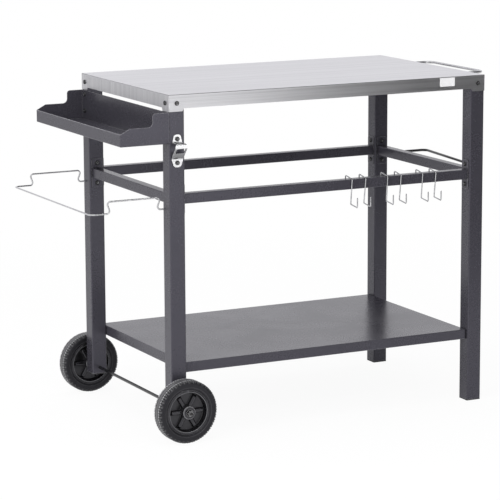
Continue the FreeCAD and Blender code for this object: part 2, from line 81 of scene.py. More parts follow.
# Shader nodes: an input is a value, or a socket to link from
def setSocket(tree, socket, value):
    if isinstance(value, bpy.types.NodeSocket):
        tree.links.new(value, socket)
    else:
        socket.default_value = value


def addNode(tree, kind, inputs=None, **settings):
    node = tree.nodes.new(kind)
    for key, value in settings.items():
        setattr(node, key, value)
    for key, value in (inputs or {}).items():
        setSocket(tree, node.inputs[key], value)
    return node


def doMath(tree, operation, *values):
    return addNode(tree, "ShaderNodeMath", dict(enumerate(values)), operation=operation).outputs[0]


def between(tree, value, low, high, first=0.0, last=1.0):
    ramp = {"Value": value, "From Min": low, "From Max": high, "To Min": first, "To Max": last}
    return addNode(tree, "ShaderNodeMapRange", ramp).outputs[0]


def mixValue(tree, share, first, second):
    return addNode(tree, "ShaderNodeMix", {0: share, 2: first, 3: second}).outputs[0]


def mixColour(tree, share, first, second):
    mix = addNode(tree, "ShaderNodeMix", {0: share, 6: first, 7: second}, data_type="RGBA")
    return mix.outputs[2]


# weighted mean of two masks
def mean(tree, share, first, second):
    rest = doMath(tree, "MULTIPLY", second, 1 - share)
    return doMath(tree, "MULTIPLY_ADD", first, share, rest)


def noise(tree, vector, scale, **values):
    inputs = {"Vector": vector, "Scale": scale, **{k.capitalize(): v for k, v in values.items()}}
    return addNode(tree, "ShaderNodeTexNoise", inputs).outputs[0]


def perMetre(tree, size):
    return doMath(tree, "DIVIDE", 1.0, size)


def newGroup(name, inputs, outputs):
    group = bpy.data.node_groups.new(name, "ShaderNodeTree")
    for label, kind in inputs.items():
        group.interface.new_socket(label, in_out="INPUT", socket_type="NodeSocket" + kind)
    for label in outputs:
        group.interface.new_socket(label, in_out="OUTPUT", socket_type="NodeSocketFloat")
    given = group.nodes.new("NodeGroupInput").outputs
    result = group.nodes.new("NodeGroupOutput").inputs
    return group, given, result


# Grain of a coat or a moulding: fine specks over a slower orange peel
grainMask = {
    "speckDetail": 2.0,
    "speckRange": (0.35, 0.65),
    "peelDetail": 1.0,
    "peelRange": (0.3, 0.7),
}


def buildGrain(s):
    group, given, result = newGroup("coatGrain", {"Vector": "Vector", "Speck": "Float", "Peel": "Float"},
                                    ["Speckle", "Mottle", "Height"])
    fine = noise(group, given["Vector"], perMetre(group, given["Speck"]), detail=s["speckDetail"])
    slow = noise(group, given["Vector"], perMetre(group, given["Peel"]), detail=s["peelDetail"])
    setSocket(group, result["Speckle"], between(group, fine, *s["speckRange"]))
    setSocket(group, result["Mottle"], between(group, slow, *s["peelRange"]))
    setSocket(group, result["Height"], doMath(group, "ADD", fine, slow))
    return group


# Brushed lines: they run along the length, and on down over the two short aprons
lineMask = {
    "endFacing": 0.7,  # a face that looks this far along the length is a short apron
    "streakDetail": 4.0,
    "streakRoughness": 0.65,
    "bandScale": 0.13,
    "bandDetail": 2.0,
    "range": (0.3, 0.7),
    "bendStart": (0.06, 0.25),  # how far up a bend faces where its painted dark reflection starts and ends
    "bendEnd": (0.97, 0.8),
    "patchRange": (0.25, 0.6),
}


def buildBrushedLines(s):
    group, given, result = newGroup("brushedLines", {"Line": "Float", "Run": "Float"},
                                    ["Streak", "Band", "FoldReflection", "Height"])
    place = addNode(group, "ShaderNodeTexCoord").outputs
    at = addNode(group, "ShaderNodeSeparateXYZ", {0: place["Object"]}).outputs
    facing = addNode(group, "ShaderNodeSeparateXYZ", {0: place["Normal"]}).outputs
    onEnd = doMath(group, "GREATER_THAN", doMath(group, "ABSOLUTE", facing[0]), s["endFacing"])
    upright = between(group, onEnd, 0.0, 1.0, given["Line"], given["Run"])
    scaled = addNode(group, "ShaderNodeCombineXYZ", {0: doMath(group, "DIVIDE", at[0], given["Run"]),
                                                     1: doMath(group, "DIVIDE", at[1], given["Line"]),
                                                     2: doMath(group, "DIVIDE", at[2], upright)}).outputs[0]
    fine = noise(group, scaled, 1.0, detail=s["streakDetail"], roughness=s["streakRoughness"])
    wide = noise(group, scaled, s["bandScale"], detail=s["bandDetail"])
    setSocket(group, result["Streak"], between(group, fine, *s["range"]))
    setSocket(group, result["Band"], between(group, wide, *s["range"]))
    setSocket(group, result["Height"], fine)
    # a painted dark reflection on the outside of a bend, in patches
    start = between(group, facing[2], *s["bendStart"])
    end = between(group, facing[2], *s["bendEnd"])
    patches = between(group, wide, *s["patchRange"])
    bent = doMath(group, "MULTIPLY", start, end)
    setSocket(group, result["FoldReflection"], doMath(group, "MULTIPLY", bent, patches))
    return group


# Handling: soft cloudy patches where hands and cloths have been
handlingMask = {"detail": 3.0, "distortion": 0.6, "range": (0.3, 0.8)}


def buildHandling(s):
    group, given, result = newGroup("handlingMarks", {"Vector": "Vector", "Size": "Float"}, ["Smudge"])
    cloud = noise(group, given["Vector"], perMetre(group, given["Size"]), detail=s["detail"],
                  distortion=s["distortion"])
    setSocket(group, result["Smudge"], between(group, cloud, *s["range"]))
    return group


# Edges: where the rounded normal leaves the flat one, the colour is lightened as a painted highlight, partly
# where a thin coat wears.
# Corners that see little of the room are darkened with painted shade.
edgeWearHighlightShadeMask = {
    "bevelSamples": 4,
    "leanRange": (0.985, 0.75),  # cosine of the angle between the two normals
    "patchScale": 160.0,
    "patchDetail": 2.0,
    "patchRange": (0.2, 0.5),
    "cornerReach": 1.6,  # as a share of the edge's reach
    "cornerSamples": 8,
    "cornerRange": (0.85, 0.5),
}


def buildEdgeWear(s):
    group, given, result = newGroup("edgeWearHighlightCornerShade", {"Vector": "Vector", "Reach": "Float"}, ["Edge", "CornerShade"])
    soft = addNode(group, "ShaderNodeBevel", {"Radius": given["Reach"]}, samples=s["bevelSamples"]).outputs[0]
    flat = addNode(group, "ShaderNodeNewGeometry").outputs["Normal"]
    compared = addNode(group, "ShaderNodeVectorMath", {0: soft, 1: flat}, operation="DOT_PRODUCT")
    lean = between(group, compared.outputs["Value"], *s["leanRange"])
    wornAndHighlighted = noise(group, given["Vector"], s["patchScale"], detail=s["patchDetail"])
    patches = between(group, wornAndHighlighted, *s["patchRange"])
    setSocket(group, result["Edge"], doMath(group, "MULTIPLY", lean, patches))
    wider = doMath(group, "MULTIPLY", given["Reach"], s["cornerReach"])
    cornerOcclusion = addNode(group, "ShaderNodeAmbientOcclusion", {"Distance": wider}, samples=s["cornerSamples"])
    setSocket(group, result["CornerShade"], between(group, cornerOcclusion.outputs["AO"], *s["cornerRange"]))
    return group


coatGrain = buildGrain(grainMask)
brushedLines = buildBrushedLines(lineMask)
handlingMarks = buildHandling(handlingMask)
edgeWearHighlightCornerShade = buildEdgeWear(edgeWearHighlightShadeMask)
print("finish groups built")


def startMaterial(name):
    material = bpy.data.materials.new(name)
    material.use_nodes = True
    tree = material.node_tree
    where = addNode(tree, "ShaderNodeTexCoord").outputs["Object"]
    return material, tree, tree.nodes["Principled BSDF"].inputs, where


def addGroup(tree, group, inputs):
    return addNode(tree, "ShaderNodeGroup", inputs, node_tree=group).outputs


def addBump(tree, shader, height, distance, strength):
    bump = {"Height": height, "Distance": distance, "Strength": strength}
    setSocket(tree, shader["Normal"], addNode(tree, "ShaderNodeBump", bump).outputs[0])


# Coats and mouldings: powder coat, black lacquer, feet and the badge
# in each look, the edge colour is painted along edges: a painted highlight where it is lighter than the body,
# partly thin-coat wear; the corner colour is painted shade in corners
frameCoat = {
    "colour": (0.038, 0.036, 0.045, 1),
    "speck": (0.049, 0.047, 0.057, 1),
    "edge": (0.3, 0.295, 0.31, 1),
    "corner": (0.008, 0.008, 0.009, 1),
    "tint": (0.88, 0.87, 1, 1),
    "rough": (0.22, 0.31),
    "speckSize": 0.7 * mm,
    "peelSize": 3.5 * mm,
    "relief": 0.05 * mm,
    "bump": 0.09,
    "edgeReach": 1.8 * mm,
    "gloss": 0.45,
}
rodCoat = {
    "colour": (0.006, 0.006, 0.007, 1),
    "speck": (0.009, 0.009, 0.01, 1),
    "edge": (0.05, 0.05, 0.053, 1),
    "corner": (0.004, 0.004, 0.004, 1),
    "tint": white,
    "rough": (0.06, 0.15),
    "speckSize": 0.7 * mm,
    "peelSize": 3.0 * mm,
    "relief": 0.05 * mm,
    "bump": 0.2,
    "edgeReach": 0.8 * mm,
    "gloss": 0.5,
}
footLook = {
    "colour": (0.02, 0.02, 0.022, 1),
    "speck": (0.027, 0.027, 0.029, 1),
    "edge": (0.05, 0.05, 0.052, 1),
    "corner": (0.006, 0.006, 0.006, 1),
    "tint": white,
    "rough": (0.4, 0.58),
    "speckSize": 0.7 * mm,
    "peelSize": 4.0 * mm,
    "relief": 0.08 * mm,
    "bump": 0.3,
    "edgeReach": 0.6 * mm,
    "gloss": 0.4,
}
badgeLook = {
    "colour": (0.78, 0.78, 0.785, 1),
    "speck": (0.82, 0.82, 0.822, 1),
    "edge": (0.7, 0.7, 0.71, 1),
    "corner": (0.3, 0.3, 0.3, 1),
    "tint": white,
    "rough": (0.22, 0.36),
    "speckSize": 0.8 * mm,
    "peelSize": 5.0 * mm,
    "relief": 0.02 * mm,
    "bump": 0.1,
    "edgeReach": 0.5 * mm,
    "gloss": 0.5,
}
coatHandling = {"size": 0.14, "smudgeShare": 0.7}


def coatedPiece(name, look):
    material, tree, shader, where = startMaterial(name)
    grain = addGroup(tree, coatGrain, {"Vector": where, "Speck": look["speckSize"], "Peel": look["peelSize"]})
    touched = addGroup(tree, handlingMarks, {"Vector": where, "Size": coatHandling["size"]})
    edge = addGroup(tree, edgeWearHighlightCornerShade, {"Vector": where, "Reach": look["edgeReach"]})
    body = mixColour(tree, grain["Speckle"], look["colour"], look["speck"])
    # painted highlight along edges, partly thin-coat wear
    wornAndHighlighted = mixColour(tree, edge["Edge"], body, look["edge"])
    # painted shade in corners
    setSocket(tree, shader["Base Color"], mixColour(tree, edge["CornerShade"], wornAndHighlighted, look["corner"]))
    smooth, matt = look["rough"]
    uneven = mean(tree, coatHandling["smudgeShare"], touched["Smudge"], grain["Mottle"])
    setSocket(tree, shader["Roughness"], between(tree, uneven, 0.0, 1.0, matt, smooth))
    shader["Specular IOR Level"].default_value = look["gloss"]
    shader["Specular Tint"].default_value = look["tint"]
    addBump(tree, shader, grain["Height"], look["relief"], look["bump"])
    return material


# Brushed stainless sheet
sheetLook = {
    "dark": (0.477, 0.475, 0.493, 1),
    "light": (0.752, 0.75, 0.768, 1),
    # a painted dark reflection along the bends
    "foldReflection": (0.2, 0.199, 0.207, 1),
    "line": 0.8 * mm,
    "run": 0.2,
    "bandShare": 0.4,
    "rough": (0.3, 0.44),
    "touchSize": 0.22,
    "smudgeShare": 0.3,
    "relief": 0.05 * mm,
    "bump": 0.3,
}


def brushedSteel(name, look):
    material, tree, shader, where = startMaterial(name)
    lines = addGroup(tree, brushedLines, {"Line": look["line"], "Run": look["run"]})
    touched = addGroup(tree, handlingMarks, {"Vector": where, "Size": look["touchSize"]})
    tone = mean(tree, look["bandShare"], lines["Band"], lines["Streak"])
    sheet = mixColour(tree, tone, look["dark"], look["light"])
    # painted dark reflection along the bends
    setSocket(tree, shader["Base Color"], mixColour(tree, lines["FoldReflection"], sheet, look["foldReflection"]))
    uneven = mean(tree, look["smudgeShare"], touched["Smudge"], lines["Streak"])
    setSocket(tree, shader["Roughness"], between(tree, uneven, 0.0, 1.0, *look["rough"]))
    shader["Metallic"].default_value = 1.0
    addBump(tree, shader, lines["Height"], look["relief"], look["bump"])
    return material


# Plated wire, tumbled opener steel, dull zinc and black oxide
# in each look, the edge colour is a painted highlight along edges, partly worn plating
wireLook = {
    "dark": (0.42, 0.42, 0.433, 1),
    "light": (0.62, 0.62, 0.63, 1),
    "edge": (0.7, 0.7, 0.71, 1),
    "rough": (0.06, 0.14),
    "speckSize": 0.5 * mm,
    "peelSize": 4.0 * mm,
    "relief": 0.02 * mm,
    "bump": 0.15,
    "edgeReach": 0.3 * mm,
    "metal": 1.0,
}
openerLook = {
    "dark": (0.48, 0.48, 0.49, 1),
    "light": (0.64, 0.64, 0.65, 1),
    "edge": (0.8, 0.8, 0.81, 1),
    "rough": (0.14, 0.26),
    "speckSize": 0.4 * mm,
    "peelSize": 2.5 * mm,
    "relief": 0.04 * mm,
    "bump": 0.2,
    "edgeReach": 0.5 * mm,
    "metal": 1.0,
}
zincLook = {
    "dark": (0.36, 0.36, 0.37, 1),
    "light": (0.52, 0.52, 0.53, 1),
    "edge": (0.6, 0.6, 0.61, 1),
    "rough": (0.32, 0.5),
    "speckSize": 0.8 * mm,
    "peelSize": 3.0 * mm,
    "relief": 0.05 * mm,
    "bump": 0.25,
    "edgeReach": 0.5 * mm,
    "metal": 1.0,
}
blackLook = {
    "dark": (0.01, 0.01, 0.011, 1),
    "light": (0.02, 0.02, 0.021, 1),
    # a light painted highlight rim on the dark screw heads and nuts
    "edge": (0.6, 0.6, 0.61, 1),
    "rough": (0.1, 0.2),
    "speckSize": 0.5 * mm,
    "peelSize": 2.0 * mm,
    "relief": 0.04 * mm,
    "bump": 0.2,
    "edgeReach": 1.4 * mm,
    "metal": 0.4,
}
metalTouchSize = 0.03


def plainMetal(name, look):
    material, tree, shader, where = startMaterial(name)
    grain = addGroup(tree, coatGrain, {"Vector": where, "Speck": look["speckSize"], "Peel": look["peelSize"]})
    touched = addGroup(tree, handlingMarks, {"Vector": where, "Size": metalTouchSize})
    body = mixColour(tree, grain["Mottle"], look["dark"], look["light"])
    edge = addGroup(tree, edgeWearHighlightCornerShade, {"Vector": where, "Reach": look["edgeReach"]})
    # painted highlight along edges, partly worn plating
    setSocket(tree, shader["Base Color"], mixColour(tree, edge["Edge"], body, look["edge"]))
    uneven = doMath(tree, "ADD", grain["Speckle"], touched["Smudge"])
    setSocket(tree, shader["Roughness"], between(tree, uneven, 0.0, 2.0, *look["rough"]))
    shader["Metallic"].default_value = look["metal"]
    addBump(tree, shader, grain["Height"], look["relief"], look["bump"])
    return material


# Wheels: painted highlights, partly wear from rubbing, on crests, and painted shade with duller roughness in
# hollows, by the marks that the piece's points carry
tyreLook = {
    "colour": (0.009, 0.0088, 0.0105, 1),
    "speck": (0.013, 0.0128, 0.0147, 1),
    "edge": (0.09, 0.09, 0.094, 1),
    "corner": (0.004, 0.004, 0.004, 1),
    "tint": (0.94, 0.93, 1, 1),
    # the lighter colour on crests is a painted highlight, partly wear from rubbing; the dark colour in
    # recesses is painted shade
    "rubbedHighlight": (0.5, 0.498, 0.51, 1),
    "hollow": (0.002, 0.002, 0.002, 1),
    "rough": (0.28, 0.44),
    "dull": 0.7,  # the least roughness in a hollow
    "speckSize": 0.7 * mm,
    "peelSize": 4.0 * mm,
    "relief": 0.08 * mm,
    "bump": 0.3,
    "edgeReach": 0.7 * mm,
    "gloss": 0.29,
}
rimLook = {
    "colour": (0.006, 0.0059, 0.0068, 1),
    "speck": (0.008, 0.0079, 0.009, 1),
    "edge": (0.03, 0.03, 0.032, 1),
    "corner": (0.002, 0.002, 0.002, 1),
    "tint": (0.94, 0.93, 1, 1),
    # the lighter colour on crests is a painted highlight, partly wear from rubbing; the dark colour in
    # recesses is painted shade
    "rubbedHighlight": (0.36, 0.359, 0.37, 1),
    "hollow": (0.002, 0.002, 0.002, 1),
    "rough": (0.1, 0.18),
    "dull": 0.3,
    "speckSize": 0.6 * mm,
    "peelSize": 5.0 * mm,
    "relief": 0.04 * mm,
    "bump": 0.2,
    "edgeReach": 0.6 * mm,
    "gloss": 0.65,
}


def mouldedWheel(name, look):
    material = coatedPiece(name, look)
    tree = material.node_tree
    shader = tree.nodes["Principled BSDF"].inputs
    plain = shader["Base Color"].links[0].from_socket
    shine = shader["Roughness"].links[0].from_socket
    rubAndHighlight = addNode(tree, "ShaderNodeAttribute", attribute_name="rubAndHighlight").outputs["Fac"]
    hollow = addNode(tree, "ShaderNodeAttribute", attribute_name="hollow").outputs["Fac"]
    # painted shade in the recesses
    deep = mixColour(tree, hollow, plain, look["hollow"])
    # painted highlight on crests, partly wear from rubbing
    setSocket(tree, shader["Base Color"], mixColour(tree, rubAndHighlight, deep, look["rubbedHighlight"]))
    dulled = doMath(tree, "MULTIPLY", hollow, look["dull"])
    setSocket(tree, shader["Roughness"], doMath(tree, "MAXIMUM", shine, dulled))
    return material


finishes = {
    "painted_frame": coatedPiece("darkPowderCoat", frameCoat),
    "dark_bar": coatedPiece("blackRodCoat", rodCoat),
    "brushed_top": brushedSteel("brushedSheet", sheetLook),
    "bright_wire": plainMetal("platedWire", wireLook),
    "bright_opener": plainMetal("tumbledSteel", openerLook),
    "zinc_hardware": plainMetal("dullZinc", zincLook),
    "black_screw": plainMetal("blackOxide", blackLook),
    "tyre": mouldedWheel("treadRubber", tyreLook),
    "wheel_plastic": mouldedWheel("mouldedRim", rimLook),
    "foot_plastic": coatedPiece("mouldedFoot", footLook),
    "badge_white": coatedPiece("plainBadge", badgeLook),
}
for node in nodes.values():
    for held in node.material_slots:
        held.material = finishes[held.material.name]
print("finishes made:", len(finishes))


def unit(v):
    return v / np.linalg.norm(v, axis=-1, keepdims=True)


def smoothStep(low, high, x):
    t = np.clip((x - low) / (high - low), 0, 1)
    return t * t * (3 - 2 * t)


# from 0 up to 1 over the rise, and back to 0 over the fall
def plateau(rise, fall, x):
    return smoothStep(*rise, x) * (1 - smoothStep(*fall, x))


def bell(middle, width, x):
    return np.exp(-((x - middle) / width) ** 2)


# length run along a path up to each of its points
def runAlong(path):
    return np.concatenate([[0], np.cumsum(np.linalg.norm(np.diff(path, axis=0), axis=1))])


# Surfaces: rows and columns of points; columns close on themselves, rows where asked
def gridQuads(rows, columns, wrapRows):
    i, j = np.meshgrid(np.arange(rows if wrapRows else rows - 1), np.arange(columns), indexing="ij")
    under = (i + 1) % rows
    beside = (j + 1) % columns
    corners = [i * columns + j, i * columns + beside, under * columns + beside, under * columns + j]
    return np.stack(corners, -1).reshape(-1, 4)


# one sheet in millimetres, which stands for a node and rides its body
def makePiece(name, sheet, slot, body, standsFor, crease):
    rows, columns = sheet["points"].shape[:2]
    faces = gridQuads(rows, columns, sheet["wrapRows"]).tolist()
    if not sheet["wrapRows"]:
        ring = np.arange(columns)
        faces += [ring.tolist(), (ring + (rows - 1) * columns).tolist()]
    mesh = bpy.data.meshes.new(name)
    mesh.from_pydata((sheet["points"].reshape(-1, 3) * mm).tolist(), [], faces)
    shell = bmesh.new()
    shell.from_mesh(mesh)
    bmesh.ops.recalc_face_normals(shell, faces=shell.faces)
    shell.to_mesh(mesh)
    shell.free()
    for mark, values in sheet.get("marks", {}).items():
        held = mesh.attributes.new(mark, "FLOAT", "POINT")
        held.data.foreach_set("value", values.ravel())
    mesh.shade_smooth()
    mesh.set_sharp_from_angle(angle=math.radians(crease))
    mesh.materials.append(finishes[slot])
    piece = bpy.data.objects.new(name, mesh)
    bpy.context.scene.collection.objects.link(piece)
    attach(piece, body)
    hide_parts(standsFor)


# straight runs joined by arcs: each corner gives an arc of its bend
def roundedPath(corners, bends, steps):
    corners = np.asarray(corners, float)
    runs = []
    for i, bend in enumerate(bends):
        if bend == 0:
            runs.append(corners[i:i + 1])
            continue
        back = unit(corners[i - 1] - corners[i])
        ahead = unit(corners[(i + 1) % len(corners)] - corners[i])
        half = math.acos(np.clip(back @ ahead, -1, 1)) / 2
        inward = unit(back + ahead)
        middle = corners[i] + inward * bend / math.sin(half)
        angle = np.linspace(-1, 1, steps + 1)[:, None] * (math.pi / 2 - half)
        runs.append(middle + bend * (np.sin(angle) * unit(ahead - back) - np.cos(angle) * inward))
    return np.concatenate(runs)


# the same path with points at even steps
def evenPoints(path, spacing):
    run = runAlong(path)
    at = np.linspace(0, run[-1], max(2, round(run[-1] / spacing)) + 1)
    return np.stack([np.interp(at, run, column) for column in path.T], 1)


def inMillimetres(node):
    low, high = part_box(node)
    return np.array(low) / mm, np.array(high) / mm


def middleOf(node):
    low, high = inMillimetres(node)
    return (low + high) / 2


# Tyre: a section turned about the axle. Each point moves inwards by the notch depth times the
# notch's share, plus the groove depth times the groove's bell, minus the ridge height times its bell.
tyreShape = {
    "bead": (52.55, 14.45),  # radius and half width of the seat on the rim
    "section": ((56.75, 17.5), (63.55, 19.5), (71.2, 19.5), (78.0, 14.0)),
    "rounds": (0.8, 6.0, 3.0, 4.0),
    "arcSteps": 6,
    "spacing": 0.72,
    "bodyDepth": 6.0,  # from the lap on the rim to a point inside the rubber
    "lugs": 76,
    "stepsPerLug": 10,
    "lugDepth": 2.5,
    "gap": ((0.0, 0.12), (0.32, 0.44)),  # where a notch opens and shuts, in lugs
    "longNotch": ((9.4, 10.6), (19.5, 22.5)),  # from here to there, measured along the section from the crown
    "shortNotch": ((11.6, 12.8), (16.5, 19.0)),
    "shallower": (16.0, 21.0, 0.55),  # from here to there a notch loses this share of its depth
    "groove": (7.4, 1.1),  # distance from the crown and half width
    "grooveDepth": 1.3,
    "ridge": (61.4, 0.5),  # radius and half width
    "ridgeHeight": 0.45,
    "crownEnd": (5.8, 6.8),
    "shoulder": ((8.4, 9.4), (11.0, 13.5)),
    # shares of painted highlight, partly wear from rubbing, on the shoulder, the lugs, the crown and the
    # ridge
    "highlightShares": {"shoulder": 0.85, "lug": 0.14, "crown": 0.15, "ridge": 0.08},
    "grooveShade": 0.8,
    "crease": 30,
}


def tyreSheet(centre, s):
    half = np.array(s["section"])
    bead, beadHalf = s["bead"]
    lap = half[0, 0]
    corners = np.concatenate([[[lap, beadHalf]], half, (half * [1, -1])[::-1], [[lap, -beadHalf]]])
    bends = [0, *s["rounds"], *s["rounds"][::-1], 0]
    path = evenPoints(roundedPath(corners, bends, s["arcSteps"]), s["spacing"])
    tangent = unit(np.gradient(path, axis=0))
    inward = np.stack([-tangent[:, 1], tangent[:, 0]], 1)
    inside = np.array([lap + s["bodyDepth"], 0.0])
    inward *= np.sign(np.sum(inward * (inside - path), axis=1))[:, None]
    run = runAlong(path)
    fromCrown = np.abs(run - run[-1] / 2)[:, None]
    columns = s["lugs"] * s["stepsPerLug"]
    turn = np.arange(columns) / columns
    # notches alternate long and short, and the two shoulders are half a lug apart
    count = turn[None] * s["lugs"] + 0.5 * (path[:, 1:] > 0)
    gap = plateau(*s["gap"], count % 1)
    isLong = np.floor(count) % 2 < 1
    reach = np.where(isLong, plateau(*s["longNotch"], fromCrown), plateau(*s["shortNotch"], fromCrown))
    fadeFrom, fadeTo, loss = s["shallower"]
    notch = gap * reach
    fade = 1 - loss * smoothStep(fadeFrom, fadeTo, fromCrown)
    groove = bell(*s["groove"], fromCrown)
    ridge = bell(*s["ridge"], path[:, :1])
    cut = s["lugDepth"] * notch * fade + s["grooveDepth"] * groove - s["ridgeHeight"] * ridge
    # painted highlight, partly wear from rubbing, on the lugs between the notches, on the crown and on the
    # ridge; painted shade in the cuts
    shoulder = plateau(*s["shoulder"], fromCrown)
    crown = 1 - smoothStep(*s["crownEnd"], fromCrown)
    share = s["highlightShares"]
    onLugs = (1 - gap) * (share["shoulder"] * shoulder + share["lug"] * reach)
    rubAndHighlight = np.clip(onLugs + share["crown"] * crown + share["ridge"] * ridge, 0, 1)
    hollow = np.clip(notch + s["grooveShade"] * groove, 0, 1)
    section = path[:, None] + inward[:, None] * cut[..., None]
    seat = np.array([[bead, beadHalf], [bead, -beadHalf]])[:, None] * np.ones((1, columns, 1))
    section = np.concatenate([seat[:1], section, seat[1:]])
    angle = 2 * math.pi * turn[None]
    radius, along = section[..., 0], section[..., 1]
    points = np.stack([radius * np.cos(angle), along, radius * np.sin(angle)], -1)
    onSeat = np.zeros((1, columns))
    marks = {"rubAndHighlight": np.concatenate([onSeat, rubAndHighlight, onSeat]), "hollow": np.concatenate([onSeat, hollow, onSeat])}
    return {"points": points + centre, "wrapRows": True, "marks": marks}


for end in ("front", "back"):
    sheet = tyreSheet(middleOf("tyre_" + end), tyreShape)
    makePiece("tread_" + end, sheet, "tyre", end + "_wheel", "tyre_" + end, tyreShape["crease"])
print("tyres made")


# Rim: hub, web, dish and edge in one section turned about the axle, with spokes on both faces.
# In the dish the face is the soft maximum of the section and the spoke: half of their sum
# plus the root of their difference squared and the blend squared.
rimShape = {
    "bore": 7.52,
    "section": ((16.5, 23.0), (16.9, 2.0), (46.0, 2.0), (49.2, 17.5), (56.7, 17.5), (56.7, 14.5),
                (52.5, 14.5)),
    "rounds": (2.0, 1.4, 2.4, 1.0, 1.0, 0, 0),
    "arcSteps": 6,
    "spacing": 0.62,
    "spokes": 6,
    "spokeHalf": 5.4,
    "spokeTop": 12.0,
    "spokeSlope": 0.7,
    "slopeRun": (40.5, 46.0),
    "spokeRound": 4.4,
    "spokeDraft": 0.4,
    "spokeFillet": 1.3,
    "bowPoints": 9,
    "spokeRoom": 0.85,  # the largest share of its sector that a spoke fills near the hub
    "webColumns": 6,
    "blend": 0.7,
    "ringGroove": (53.3, 0.7),  # radius and half width of the groove between the two rings
    "ringDepth": 0.9,
    "ringRise": (1.0, 0.2),  # how far below the edge's face the groove starts, and is whole
    "ringFrom": 4.0,  # how far inside the dish's top it may start
    "dishSlack": (1.0, 0.3, 0.5),  # past the hub's end, past the dish's top, below the edge's face
    "hollowFrom": 1.0,  # beyond the hub's end
    "hollowRise": (1.0, 5.0),  # above the web, where the painted shade of the recess ends
    "lip": (49.9, 0.5),  # radius and half width of the painted highlight ring round the dish
    "lipDepth": 2.0,
    "hubLip": (15.3, 0.9),  # the same on the hub
    "hubLipDepth": 3.0,
    "lipHighlight": 0.45,
    "crease": 60,
}


def rimSheet(centre, s):
    hubEnd, hubHalf = s["section"][0]
    web = s["section"][1][1]
    dishTop, edgeHalf = s["section"][3]
    corners = [(s["bore"], hubHalf), *s["section"]]
    path = evenPoints(roundedPath(corners, [0, *s["rounds"]], s["arcSteps"]), s["spacing"])
    radius, along = path[:, :1], path[:, 1:]
    ringLow, ringHigh = s["ringRise"]
    onEdge = smoothStep(edgeHalf - ringLow, edgeHalf - ringHigh, along) * (radius > dishTop - s["ringFrom"])
    rise = along - s["ringDepth"] * bell(*s["ringGroove"], radius) * onEdge
    # across half a spoke: flat top, rounded edge, side wall and a fillet down to the web
    bow = np.linspace(0, math.pi / 2, s["bowPoints"])
    edge = s["spokeHalf"] - s["spokeRound"]
    foot = s["spokeHalf"] + s["spokeDraft"]
    lateral = np.concatenate([[0, edge / 2], edge + s["spokeRound"] * np.sin(bow),
                              foot + s["spokeFillet"] * (1 - np.cos(bow))])
    height = np.concatenate([[s["spokeTop"]] * 2, s["spokeTop"] - s["spokeRound"] * (1 - np.cos(bow)),
                             web + s["spokeFillet"] * (1 - np.sin(bow))])
    sector = math.pi / s["spokes"]
    room = np.minimum(1, radius * math.sin(s["spokeRoom"] * sector) / lateral[-1])
    onSpoke = np.arcsin(lateral * room / radius)
    share = np.linspace(0, 1, s["webColumns"] + 1)[1:]
    onWeb = onSpoke[:, -1:] + share * (sector - onSpoke[:, -1:])
    angle = np.concatenate([onSpoke, onWeb], 1)
    # the spoke's back slopes down before it meets the dish
    slope = 1 - s["spokeSlope"] * smoothStep(*s["slopeRun"], radius)
    height = web + (np.concatenate([height, np.full(len(share), web)])[None] - web) * slope
    lift = 0.5 * (rise + height + np.sqrt((rise - height) ** 2 + s["blend"] ** 2))
    pastHub, pastTop, belowEdge = s["dishSlack"]
    inDish = (radius > hubEnd - pastHub) & (radius < dishTop + pastTop) & (along < edgeHalf - belowEdge)
    face = np.where(inDish, lift, rise)
    # painted shade on the web between the spokes; painted highlight on the dish's lip and on the hub's
    hollowLow, hollowHigh = s["hollowRise"]
    deep = 1 - smoothStep(web + hollowLow, web + hollowHigh, face)
    hollow = inDish * (radius > hubEnd + s["hollowFrom"]) * deep
    lip = bell(*s["lip"], radius) * (along > edgeHalf - s["lipDepth"])
    hubLip = bell(*s["hubLip"], radius) * (along > hubHalf - s["hubLipDepth"])
    rubAndHighlight = np.clip(s["lipHighlight"] * (lip + hubLip), 0, 1) * np.ones_like(face)
    angle = np.concatenate([-angle[:, -2:0:-1], angle], 1)
    face, rubAndHighlight, hollow = (np.concatenate([part[:, -2:0:-1], part], 1) for part in (face, rubAndHighlight, hollow))
    # the sectors go round, and the far face mirrors the near one
    around = np.concatenate([angle + 2 * sector * i for i in range(s["spokes"])], 1)
    face, rubAndHighlight, hollow = (np.tile(part, s["spokes"]) for part in (face, rubAndHighlight, hollow))
    sides = [np.stack([radius * np.cos(around), face * k, radius * np.sin(around)], -1) for k in (1, -1)]
    marks = {"rubAndHighlight": np.concatenate([rubAndHighlight, rubAndHighlight[::-1]]), "hollow": np.concatenate([hollow, hollow[::-1]])}
    return {"points": np.concatenate([sides[0], sides[1][::-1]]) + centre, "wrapRows": True, "marks": marks}


for end in ("front", "back"):
    sheet = rimSheet(middleOf("rim_" + end), rimShape)
    makePiece("spoked_rim_" + end, sheet, "wheel_plastic", end + "_wheel", "rim_" + end, rimShape["crease"])
print("rims made")


# Hooks: bent wire over the rail, down its front, out and up to the tip
hookShape = {
    "hooks": 6,
    "wire": 1.6,
    "sides": 16,
    "domeSteps": 5,
    "domeStart": 80,  # degrees from a dome's base up to the flat at its tip
    "backLift": 6.0,
    "backDrop": 14.0,
    "frontFromMiddle": 14.4,
    "restAboveMiddle": 13.46,
    "leanOut": 3.6,
    "leanIn": 4.4,
    "drop": 64.0,
    "mouthFall": 4.0,
    "tip": 25.0,
    "bend": 3.0,
    "bendSteps": 8,
    "sway": (0.4, -0.9, 1.2, -0.3, 0.7, -0.6),  # how far each lower end stands aside
    "crease": 40,
}


